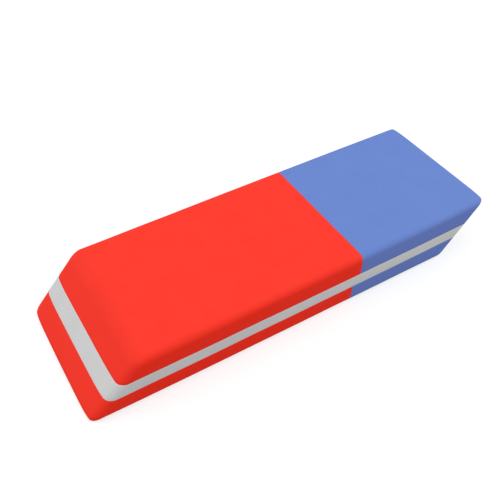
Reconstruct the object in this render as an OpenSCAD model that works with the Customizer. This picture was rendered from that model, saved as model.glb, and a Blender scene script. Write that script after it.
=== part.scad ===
// Two-ended rubber eraser: red and blue rubber above and below a thin white layer,
// cut to a slanted bar and tumbled until its edges are round.

/* [Coloured rubber] */
// Length of the red end at mid thickness, from its end face to the upper colour join
red_length = 34.3; // [15:0.1:45]
// Length of the blue end at mid thickness, from the upper colour join to its end face
blue_length = 18.4; // [9:0.1:30]
// How much nearer the red end the lower colour join lies, as the two layers are joined one by one
join_step = 1; // [0:0.1:3]
// Width across the bar
bar_width = 20; // [12:0.5:30]
// Thickness of the coloured rubber above the white layer
upper_layer = 3.15; // [2:0.05:5]
// Thickness of the coloured rubber below the white layer
lower_layer = 3; // [2:0.05:5]

/* [White layer] */
// Thickness of the white layer in the middle
white_layer = 1.85; // [0.8:0.05:3]

/* [Ends and edges] */
// Angle by which the red end's face leans over from upright
red_end_lean = 43; // [0:1:50]
// Angle by which the blue end's face leans over from upright
blue_end_lean = 40; // [0:1:50]
// Rounding of the edges and corners at the red end
red_end_radius = 1.1; // [0.4:0.1:2]
// Rounding of the edges and corners at the blue end
blue_end_radius = 0.8; // [0.4:0.1:2]

/* [Hidden] */
bar_length = red_length + blue_length;
thickness = lower_layer + white_layer + upper_layer;
white_bottom = lower_layer;
white_top = lower_layer + white_layer;
// Middle of the bar at mid thickness, set so that the two tips reach equally far from the origin
middle_x = (overhang(red_end_lean, red_end_radius) - overhang(blue_end_lean, blue_end_radius)) / 2;
red_end_x = middle_x - bar_length / 2;
blue_end_x = middle_x + bar_length / 2;
upper_join_x = red_end_x + red_length;
lower_join_x = upper_join_x - join_step;
// Past both tips, so that a zone that ends there takes in the whole end
reach = bar_length + thickness;
ball_facets = 32;

// How far a rounded tip juts out past its end face's line at mid thickness
function overhang(angle, radius) =
    tan(angle) * thickness / 2 - radius * (1 + tan(angle) - sqrt(1 + pow(tan(angle), 2)));

// Moves each level along the bar in step with its height, so upright ends lean over
module lean_over(angle) {
    multmatrix([
        [1, 0, tan(angle), -tan(angle) * thickness / 2],
        [0, 1, 0, 0],
        [0, 0, 1, 0],
        [0, 0, 0, 1]
    ])
        children();
}

// A ball whose poles and equator lie exactly one radius from its centre
module corner_ball(radius) {
    rotate_extrude($fn = ball_facets)
        intersection() {
            circle(r = radius, $fn = ball_facets);
            translate([0, -radius])
                square([radius, 2 * radius]);
        }
}

// The four rounded corners of one end, whose balls stand at a station along the bar
module end_corners(x, radius, angle) {
    corner_y = bar_width / 2 - radius;
    for (y = [-corner_y, corner_y], z = [radius, thickness - radius])
        lean_over(angle)
            translate([x, y, z])
                corner_ball(radius);
}

module whole_bar() {
    hull() {
        end_corners(red_end_x + red_end_radius, red_end_radius, red_end_lean);
        end_corners(blue_end_x - blue_end_radius, blue_end_radius, blue_end_lean);
    }
}

// The part of the bar between two stations along it and two levels
module zone(from_x, to_x, from_z, to_z) {
    intersection() {
        whole_bar();
        translate([from_x, -bar_width, from_z])
            cube([to_x - from_x, 2 * bar_width, to_z - from_z]);
    }
}

module upper_red_block() {
    color("#ff4033") zone(-reach, upper_join_x, white_top, thickness);
}

module upper_blue_block() {
    color("#6e8bd1") zone(upper_join_x, reach, white_top, thickness);
}

module white_core_layer() {
    color("#dbdbdb") zone(-reach, reach, white_bottom, white_top);
}

module lower_red_block() {
    color("#ff4033") zone(-reach, lower_join_x, 0, white_bottom);
}

module lower_blue_block() {
    color("#6e8bd1") zone(lower_join_x, reach, 0, white_bottom);
}

upper_red_block();
upper_blue_block();
white_core_layer();
lower_red_block();
lower_blue_block();
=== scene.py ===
import math

import bmesh
import bpy
from mathutils import Matrix, Vector, noise


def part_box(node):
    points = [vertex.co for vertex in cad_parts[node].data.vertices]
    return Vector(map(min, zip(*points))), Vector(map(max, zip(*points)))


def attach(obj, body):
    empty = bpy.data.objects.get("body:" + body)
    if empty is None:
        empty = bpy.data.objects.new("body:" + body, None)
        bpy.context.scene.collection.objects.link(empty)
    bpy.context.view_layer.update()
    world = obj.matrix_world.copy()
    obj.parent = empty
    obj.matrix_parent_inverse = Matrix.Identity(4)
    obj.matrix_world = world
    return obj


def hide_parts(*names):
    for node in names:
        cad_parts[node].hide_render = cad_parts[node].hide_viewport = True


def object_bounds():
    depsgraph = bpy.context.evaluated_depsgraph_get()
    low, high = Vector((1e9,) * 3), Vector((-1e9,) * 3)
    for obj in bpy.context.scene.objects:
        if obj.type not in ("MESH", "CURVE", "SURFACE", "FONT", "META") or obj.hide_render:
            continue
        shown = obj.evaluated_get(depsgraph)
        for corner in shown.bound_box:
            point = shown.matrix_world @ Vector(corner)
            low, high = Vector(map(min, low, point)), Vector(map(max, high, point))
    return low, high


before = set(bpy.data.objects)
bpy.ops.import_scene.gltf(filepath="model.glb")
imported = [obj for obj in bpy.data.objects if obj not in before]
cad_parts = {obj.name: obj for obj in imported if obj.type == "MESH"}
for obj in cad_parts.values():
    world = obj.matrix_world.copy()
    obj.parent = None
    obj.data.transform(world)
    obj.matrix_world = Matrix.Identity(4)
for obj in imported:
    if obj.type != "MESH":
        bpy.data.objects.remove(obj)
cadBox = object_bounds()
print("frame", sorted(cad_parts))
mm = 0.001  # the scene is in metres


def onlySelect(piece):
    bpy.ops.object.select_all(action="DESELECT")
    piece.select_set(True)
    bpy.context.view_layer.objects.active = piece


def pick(piece, kind, wanted):
    # leaves the piece in edit mode with just the wanted points, edges or faces picked
    onlySelect(piece)
    bpy.ops.object.mode_set(mode="EDIT")
    bpy.ops.mesh.select_mode(type=kind)
    bpy.ops.mesh.select_all(action="DESELECT")
    shape = bmesh.from_edit_mesh(piece.data)
    for item in {"VERT": shape.verts, "EDGE": shape.edges, "FACE": shape.faces}[kind]:
        if wanted(item):
            item.select_set(True)
    shape.select_flush_mode()
    bmesh.update_edit_mesh(piece.data)


def linearColour(hexCode):
    # sRGB hex to the linear values that a shader socket takes, by the standard's own curve
    channels = [int(hexCode[i:i + 2], 16) / 255 for i in (1, 3, 5)]
    return [c / 12.92 if c <= 0.04045 else ((c + 0.055) / 1.055) ** 2.4 for c in channels] + [1]


def emptyNodes(owner):
    # a new material or world without its usual nodes
    owner.use_nodes = True
    owner.node_tree.nodes.clear()
    return owner


def addNode(owner, kind, settings=None, links=None):
    # one node, its settings (its own or its sockets') and the sockets that feed it
    node = owner.node_tree.nodes.new(kind)
    for name, value in (settings or {}).items():
        if isinstance(name, int) or name in node.inputs:
            node.inputs[name].default_value = value
        else:
            setattr(node, name, value)
    for name, source in (links or {}).items():
        owner.node_tree.links.new(source, node.inputs[name])
    return node


# The bar is drawn upright and whole, rounded, cut into its five slabs and only then leant over.
bar = {
    "redLean": 43,  # degrees that the red end's face leans from upright
    "blueLean": 40,
    "redRadius": 1.1,  # mm, rounding of the edges at the red end
    "blueRadius": 0.8,  # mm, at the blue end, whose harder rubber tumbles less round
    "roundSteps": 12,  # facets across each rounding
    "cell": 0.45,  # mm, the mesh's cells on the flats
    "inset": 0.03,  # mm that the skin is drawn inside the full size, room for its wander
    "tip": 2.5,  # mm at each end that lean as one, so that the rounding there keeps its shape
    "shadeAngle": 28,  # degrees up to which two faces are shaded as one
}
seam = {
    "cutAngle": 45,  # degrees, and an edge that turns by more than this was left by a cut
    "softening": 0.03,  # mm that such an edge is eased, which leaves a hairline at each joint
    "steps": 2,
}
wear = {
    # mm that tumbling drew the corners of each end in, at the bottom and at the top
    "redLow": 0.38,
    "redHigh": 0.14,
    "blueLow": 0.03,
    "blueHigh": 0.28,
    "sideShare": 0.54,  # the long sides lost less than the end faces
    "reach": (9.3, 1.4, 13.4),  # mm along the bar, across it and up it over which that fades
    "fade": 1.3,  # power of the fading, higher for a more sudden one
}
skin = {
    "wander": 0.02,  # mm, shallow unevenness of a tumbled face
    "wanderLength": 6,  # mm from one hollow to the next
    "peel": 0.003,  # mm, finer ripple over it
    "peelLength": 1.3,  # mm
    "seed": 3,  # any whole number but 0 gives the same skin each run
}

lowest, highest = (Vector(corner) for corner in cadBox)
whiteLow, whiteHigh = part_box("white_core_layer")
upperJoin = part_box("upper_red_block")[1].x
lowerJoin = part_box("lower_red_block")[1].x
middleZ = (lowest.z + highest.z) / 2
redSlope, blueSlope = (math.tan(math.radians(bar[key])) for key in ("redLean", "blueLean"))
# the end faces at mid thickness, read from where the white layer reaches them
redEnd = whiteLow.x + redSlope * (middleZ - whiteLow.z)
blueEnd = whiteHigh.x - blueSlope * (whiteHigh.z - middleZ)
inset = bar["inset"] * mm
low = Vector((redEnd + inset, lowest.y + inset, lowest.z + inset))
high = Vector((blueEnd - inset, highest.y - inset, highest.z - inset))
middle = (low + high) / 2
half = (high - low) / 2
hair = 0.002 * mm  # points closer than this are in one place

# a cut is given by a point of its plane and the way that the plane faces
upperCut, lowerCut = Vector((upperJoin, 0, 0)), Vector((lowerJoin, 0, 0))
up, down = Vector((0, 0, 1)), Vector((0, 0, -1))
left, right = Vector((-1, 0, 0)), Vector((1, 0, 0))


def roundEdges(piece):
    # every edge as at the red end, then the blue end's four corners drawn in to their sharp points
    red, blue = bar["redRadius"] * mm, bar["blueRadius"] * mm
    pick(piece, "EDGE", lambda edge: True)
    bpy.ops.mesh.bevel(offset=red, segments=bar["roundSteps"], affect="EDGES")
    bpy.ops.object.mode_set(mode="OBJECT")
    for y in (low.y, high.y):
        for z in (low.z, high.z):
            corner = Vector((high.x, y, z))
            pick(piece, "VERT", lambda vert: max(abs(c) for c in vert.co - corner) < red + hair)
            bpy.ops.transform.resize(value=[blue / red] * 3, center_override=corner)
            bpy.ops.object.mode_set(mode="OBJECT")


def cutCells(piece, axis, start, end, span):
    # cuts a stretch of the bar into cells along one axis, by the edges that run most of the span
    def runsAlong(edge):
        a, b = (vert.co for vert in edge.verts)
        inside = start - hair < min(a.x, b.x) and max(a.x, b.x) < end + hair
        return inside and abs(b[axis] - a[axis]) > span / 2
    pick(piece, "EDGE", runsAlong)
    bpy.ops.mesh.subdivide(number_cuts=round(span / (bar["cell"] * mm)))
    bpy.ops.object.mode_set(mode="OBJECT")


def makeBar():
    bpy.ops.object.select_all(action="DESELECT")
    bpy.ops.mesh.primitive_cube_add(size=1, location=middle, scale=high - low)
    piece = bpy.context.object
    bpy.ops.object.transform_apply(location=True, rotation=False, scale=True)
    roundEdges(piece)
    # loops where the layers and the two colours meet
    for place, normal in ((whiteLow, up), (whiteHigh, up), (lowerCut, right), (upperCut, right)):
        pick(piece, "FACE", lambda face: True)
        bpy.ops.mesh.bisect(plane_co=place, plane_no=normal)
        bpy.ops.object.mode_set(mode="OBJECT")
    # cells along each stretch between the joins, then across and up
    stations = (low.x, lowerJoin, upperJoin, high.x)
    for start, end in zip(stations, stations[1:]):
        cutCells(piece, 0, start, end, end - start)
    cutCells(piece, 1, low.x, high.x, high.y - low.y)
    # all three layers' flats are about as high as the white layer
    cutCells(piece, 2, low.x, high.x, whiteHigh.z - whiteLow.z)
    return piece


def keepSide(piece, place, normal):
    # cuts off what lies on the normal's side of a plane and closes the cut
    cut = {"plane_co": place, "plane_no": normal, "threshold": hair}
    pick(piece, "FACE", lambda face: True)
    bpy.ops.mesh.bisect(clear_outer=True, use_fill=True, **cut)
    bpy.ops.object.mode_set(mode="OBJECT")


def mix(a, b, share):
    return a + (b - a) * share


def wearCorners(piece):
    for vert in piece.data.vertices:
        # the point's place in each direction, 0 at the bar's middle and 1 or -1 at a face
        part = [(vert.co[i] - middle[i]) / half[i] for i in range(3)]
        # how far it lies from the nearest corner, each direction measured by its own reach
        steps = [half[i] * max(0, 1 - part[i] ** 2) / 2 / wear["reach"][i] for i in range(3)]
        away = math.sqrt(sum(step ** 2 for step in steps))
        x, z = (part[0] + 1) / 2, (part[2] + 1) / 2
        atRed = mix(wear["redLow"], wear["redHigh"], z)
        atBlue = mix(wear["blueLow"], wear["blueHigh"], z)
        depth = mix(atRed, atBlue, x) * mm
        depth *= math.exp(-(away / mm) ** wear["fade"])
        vert.co.x -= depth * part[0]
        vert.co.y -= depth * part[1] * wear["sideShare"]


def leanOver(piece):
    # each level slides along with its height, fully at the tips and not at all at the colour joins
    tip = bar["tip"] * mm
    redRoom, blueRoom = lowerJoin - redEnd - tip, blueEnd - upperJoin - tip
    for vert in piece.data.vertices:
        height = vert.co.z - middleZ
        if vert.co.x < lowerJoin:
            vert.co.x += redSlope * height * min(1, (lowerJoin - vert.co.x) / redRoom)
        elif vert.co.x > upperJoin:
            vert.co.x += blueSlope * height * min(1, (vert.co.x - upperJoin) / blueRoom)


def roughenSkin(piece):
    # one field for all slabs, so that their edges still meet
    noise.seed_set(skin["seed"])
    for vert in piece.data.vertices:
        place = vert.co / mm
        broad = noise.noise_vector(place / skin["wanderLength"]) * skin["wander"]
        fine = noise.noise_vector(place / skin["peelLength"]) * skin["peel"]
        vert.co += (broad + fine) * mm


def makeSlab(name, cuts, material):
    onlySelect(wholeBar)
    bpy.ops.object.duplicate()
    piece = bpy.context.object
    piece.name = name
    piece.data.name = name
    for place, normal in cuts:
        keepSide(piece, place, normal)
    sharp = math.radians(seam["cutAngle"])
    pick(piece, "EDGE", lambda edge: edge.calc_face_angle(0) > sharp)
    bpy.ops.mesh.bevel(offset=seam["softening"] * mm, segments=seam["steps"], affect="EDGES")
    bpy.ops.object.mode_set(mode="OBJECT")
    wearCorners(piece)
    leanOver(piece)
    roughenSkin(piece)
    pick(piece, "FACE", lambda face: True)
    bpy.ops.mesh.normals_make_consistent(inside=False)
    bpy.ops.object.mode_set(mode="OBJECT")
    bpy.ops.object.shade_smooth_by_angle(angle=math.radians(bar["shadeAngle"]))
    piece.data.materials.clear()
    piece.data.materials.append(material)
    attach(piece, "root")
    return piece


# All three are vulcanised rubber with a chalky filler, cut from one sheet and tumbled in a drum,
# which leaves them dull all over, edges too. Their faces that lie flat are painted a touch paler,
# a painted sheen.
tumbled = {
    "ior": 1.52,  # typical of rubber
    "specular": 0.2,  # loose filler on the skin hides most of the rubber's own shine
    "paintedSheenFull": 0.95,  # upward part of the normal where the painted sheen is full, 1 being a level face
    "cloudSpread": (0.35, 0.65),  # the noise's values from no cloud to full cloud
    "cloudDetail": 3.0,
    "grainSpread": (0.3, 0.7),  # the noise's values from the smoothest to the roughest grain
    "grainDetail": 2.0,
    "grainSize": 0.15,  # mm, coarser than the real 0.03, which is too fine to show
    "grainDepth": 0.02,  # mm
    "bump": 0.5,  # share of that depth that is shaded
    "roughSwing": 0.05,  # how far the grain moves the roughness to either side
}
# The colours are of the top with its painted sheen, the side without it, the darker clouds
# and the pale grit. Sizes are in mm. Real grit is 0.05 to 0.1 across, too fine to show, so the
# specks are about 0.2 across.
# "gritReach" is a speck's radius as a share of the spacing, and a depth is how much of it shows.
redRubber = {
    # soft pencil rubber, rich in pigment: a warm, even red with hardly a speck
    "top": "#ff3827",
    "side": "#ff280a",
    "shade": "#f83020",
    "dust": "#ff4c3c",
    "cloudSize": 4,
    "cloudDepth": 0.3,
    "gritSpacing": 0.5,
    "gritReach": 0.2,
    "gritDepth": 0.2,
    "roughness": 0.75,
}
blueRubber = {
    # ink rubber, hard with pumice: a chalky blue, the grittiest and the dullest of the three
    "top": "#6b89d1",
    "side": "#6a82cb",
    "shade": "#6481c9",
    "dust": "#8ba4dd",
    "cloudSize": 4,
    "cloudDepth": 0.3,
    "gritSpacing": 0.4,
    "gritReach": 0.25,
    "gritDepth": 0.3,
    "roughness": 0.85,
}
whiteRubber = {
    # plain rubber between the other two: greyish white, a little cloudier and smoother
    "top": "#d9d9d9",
    "side": "#dbdbdb",
    "shade": "#d2d2d3",
    "dust": "#e4e4e5",
    "cloudSize": 3,
    "cloudDepth": 0.5,
    "gritSpacing": 0.5,
    "gritReach": 0.2,
    "gritDepth": 0.2,
    "roughness": 0.7,
}


def rubberColour(material, look, place):
    top, side, shade, dust = (linearColour(look[key]) for key in ("top", "side", "shade", "dust"))
    # a colour Mix node's two colours and its result, which have no names of their own
    first, second, mixed = 6, 7, 2
    # painted sheen: the faces that look up are painted paler than the sides, standing in for the
    # light's sheen on them
    normal = addNode(material, "ShaderNodeNewGeometry").outputs["Normal"]
    upward = addNode(material, "ShaderNodeSeparateXYZ", {}, {"Vector": normal}).outputs["Z"]
    paintedSheen = addNode(
        material, "ShaderNodeMapRange", {"From Max": tumbled["paintedSheenFull"]}, {"Value": upward}
    )
    face = addNode(
        material, "ShaderNodeMix",
        {"data_type": "RGBA", first: side, second: top},
        {"Factor": paintedSheen.outputs["Result"]},
    )
    # pigment that isn't quite evenly milled in
    cloud = addNode(
        material, "ShaderNodeTexNoise",
        {"Scale": 1 / look["cloudSize"], "Detail": tumbled["cloudDetail"]},
        {"Vector": place},
    )
    clear, full = tumbled["cloudSpread"]
    cloudy = addNode(
        material, "ShaderNodeMapRange",
        {"From Min": clear, "From Max": full, "To Max": look["cloudDepth"]},
        {"Value": cloud.outputs["Fac"]},
    )
    tone = addNode(
        material, "ShaderNodeMix",
        {"data_type": "RGBA", second: shade},
        {"Factor": cloudy.outputs["Result"], first: face.outputs[mixed]},
    )
    # filler grit that breaks the surface, palest at each grain's middle
    grit = addNode(
        material, "ShaderNodeTexVoronoi", {"Scale": 1 / look["gritSpacing"]}, {"Vector": place}
    )
    speck = addNode(
        material, "ShaderNodeMapRange",
        {"From Min": look["gritReach"], "From Max": 0.0, "To Max": look["gritDepth"]},
        {"Value": grit.outputs["Distance"]},
    )
    speckled = addNode(
        material, "ShaderNodeMix",
        {"data_type": "RGBA", second: dust},
        {"Factor": speck.outputs["Result"], first: tone.outputs[mixed]},
    )
    return speckled.outputs[mixed]


def rubberGrain(material, look, place):
    # the fine unevenness of a tumbled skin, as a roughness and as a bump
    grain = addNode(
        material, "ShaderNodeTexNoise",
        {"Scale": 1 / tumbled["grainSize"], "Detail": tumbled["grainDetail"]},
        {"Vector": place},
    )
    smooth, coarse = tumbled["grainSpread"]
    swing = tumbled["roughSwing"]
    least, most = look["roughness"] - swing, look["roughness"] + swing
    rough = addNode(
        material, "ShaderNodeMapRange",
        {"From Min": smooth, "From Max": coarse, "To Min": least, "To Max": most},
        {"Value": grain.outputs["Fac"]},
    )
    bump = addNode(
        material, "ShaderNodeBump",
        {"Strength": tumbled["bump"], "Distance": tumbled["grainDepth"] * mm},
        {"Height": grain.outputs["Fac"]},
    )
    return rough.outputs["Result"], bump.outputs["Normal"]


def rubber(name, look):
    material = emptyNodes(bpy.data.materials.new(name))
    # the patterns are scaled in millimetres
    metres = addNode(material, "ShaderNodeTexCoord").outputs["Object"]
    scaled = addNode(material, "ShaderNodeMapping", {"Scale": [1 / mm] * 3}, {"Vector": metres})
    place = scaled.outputs["Vector"]
    colour = rubberColour(material, look, place)
    roughness, normal = rubberGrain(material, look, place)
    shader = addNode(
        material, "ShaderNodeBsdfPrincipled",
        {"IOR": tumbled["ior"], "Metallic": 0.0, "Specular IOR Level": tumbled["specular"]},
        {"Base Color": colour, "Roughness": roughness, "Normal": normal},
    )
    addNode(material, "ShaderNodeOutputMaterial", {}, {"Surface": shader.outputs["BSDF"]})
    print("material", name)
    return material


red = rubber("tumbledRedRubber", redRubber)
blue = rubber("tumbledBlueRubber", blueRubber)
white = rubber("tumbledWhiteRubber", whiteRubber)

wholeBar = makeBar()
print("bar", len(wholeBar.data.vertices), "points", len(wholeBar.data.polygons), "faces")
# the solid that each slab stands for, the cuts that part it from the bar, its rubber and its slot
slabs = {
    "upperRed": ("upper_red_block", [(whiteHigh, down), (upperCut, right)], red, "red_rubber"),
    "upperBlue": ("upper_blue_block", [(whiteHigh, down), (upperCut, left)], blue, "blue_rubber"),
    "whiteLayer": ("white_core_layer", [(whiteHigh, up), (whiteLow, down)], white, "white_rubber"),
    "lowerRed": ("lower_red_block", [(whiteLow, up), (lowerCut, right)], red, "red_rubber"),
    "lowerBlue": ("lower_blue_block", [(whiteLow, up), (lowerCut, left)], blue, "blue_rubber"),
}
for name, (node, cuts, material, slotName) in slabs.items():
    slab = makeSlab(name, cuts, material)
    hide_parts(node)
    print("slab", name, len(slab.data.polygons), "faces")
bpy.data.objects.remove(wholeBar)

camera = {
    "lens": 47.213,  # mm, with the usual 36 mm sensor
    "azimuth": -32.417,  # degrees anticlockwise from looking along the y axis
    "elevation": 45.865,  # degrees that it looks down
    "roll": 1.346,  # degrees anticlockwise, as seen from behind it
    "distance": 87.834,  # mm back from the aim
    "aim": (-1.482, 1.601, 4.0),  # mm
    "nearest": 1,  # mm, what is closer than this isn't drawn
}


def addCamera():
    data = bpy.data.cameras.new("camera")
    data.lens = camera["lens"]
    data.clip_start = camera["nearest"] * mm
    eye = bpy.data.objects.new("camera", data)
    bpy.context.collection.objects.link(eye)
    turn = (
        Matrix.Rotation(math.radians(camera["azimuth"]), 4, "Z")
        @ Matrix.Rotation(math.radians(90 - camera["elevation"]), 4, "X")
        @ Matrix.Rotation(math.radians(camera["roll"]), 4, "Z")
    )
    aim = Matrix.Translation(Vector(camera["aim"]) * mm)
    eye.matrix_world = aim @ turn @ Matrix.Translation((0, 0, camera["distance"] * mm))
    bpy.context.scene.camera = eye
    print("camera", [round(c / mm, 1) for c in eye.matrix_world.translation])


light = {
    "sky": 0.55,  # strength of the even light from all round, where 1 is white
    "away": 0.5,  # m from the bar to each soft box
    "boxes": {
        # watts, side in m, degrees anticlockwise from the way the camera looks, degrees up
        "overhead": (0.85, 0.5, 180, 85),
        "left": (0.49, 0.3, 90, 25),
        "right": (0.72, 0.3, -90, 25),
    },
}
card = {
    "side": 0.6,  # m
    "grey": 0.37,  # how much of the light on it the card gives back
    "glow": 0.70,  # what lifts it to white for the rays that meet plain white
}
whiteness = (1, 1, 1, 1)


def whiteRays(owner):
    # 1 for the rays that meet plain white: straight looks, reflections and see-through
    path = addNode(owner, "ShaderNodeLightPath").outputs
    found = path["Is Camera Ray"]
    for kind in ("Is Glossy Ray", "Is Transmission Ray"):
        rays = {0: found, 1: path[kind]}
        found = addNode(owner, "ShaderNodeMath", {"operation": "MAXIMUM"}, rays).outputs["Value"]
    return found


def addSky():
    world = emptyNodes(bpy.data.worlds.new("studio"))
    bpy.context.scene.world = world
    lit = addNode(world, "ShaderNodeBackground", {"Color": whiteness, "Strength": light["sky"]})
    shown = addNode(world, "ShaderNodeBackground", {"Color": whiteness, "Strength": 1.0})
    sources = {"Fac": whiteRays(world), 1: lit.outputs[0], 2: shown.outputs[0]}
    mixed = addNode(world, "ShaderNodeMixShader", {}, sources)
    addNode(world, "ShaderNodeOutputWorld", {}, {"Surface": mixed.outputs[0]})
    print("sky", light["sky"])


def addSoftBox(name, power, side, turn, height):
    lamp = bpy.data.lights.new(name, "AREA")
    lamp.shape = "SQUARE"
    lamp.size = side
    lamp.energy = power
    box = bpy.data.objects.new(name, lamp)
    bpy.context.collection.objects.link(box)
    around, rise = math.radians(camera["azimuth"] + turn), math.radians(height)
    level = math.cos(rise)
    toBox = Vector((-math.sin(around) * level, math.cos(around) * level, math.sin(rise)))
    place = toBox * light["away"]
    facing = place.to_track_quat("Z", "Y").to_matrix().to_4x4()
    box.matrix_world = Matrix.Translation(place) @ facing
    print("soft box", name, power)


def addFloor():
    # matt pale card, which keeps the bar's shadow
    bpy.ops.object.select_all(action="DESELECT")
    bpy.ops.mesh.primitive_plane_add(size=card["side"], location=(0, 0, 0))
    floor = bpy.context.object
    floor.name = "floor"
    material = emptyNodes(bpy.data.materials.new("paleCard"))
    matt = addNode(material, "ShaderNodeBsdfDiffuse", {"Color": [card["grey"]] * 3 + [1]})
    glow = addNode(material, "ShaderNodeEmission", {"Color": whiteness, "Strength": card["glow"]})
    lifted = addNode(material, "ShaderNodeAddShader", {}, {0: matt.outputs[0], 1: glow.outputs[0]})
    sources = {"Fac": whiteRays(material), 1: matt.outputs[0], 2: lifted.outputs[0]}
    mixed = addNode(material, "ShaderNodeMixShader", {}, sources)
    addNode(material, "ShaderNodeOutputMaterial", {}, {"Surface": mixed.outputs[0]})
    floor.data.materials.append(material)
    print("floor", card["side"])


addCamera()
addSky()
for name, (power, side, turn, height) in light["boxes"].items():
    addSoftBox(name, power, side, turn, height)
addFloor()
bpy.context.scene.view_settings.view_transform = "Standard"
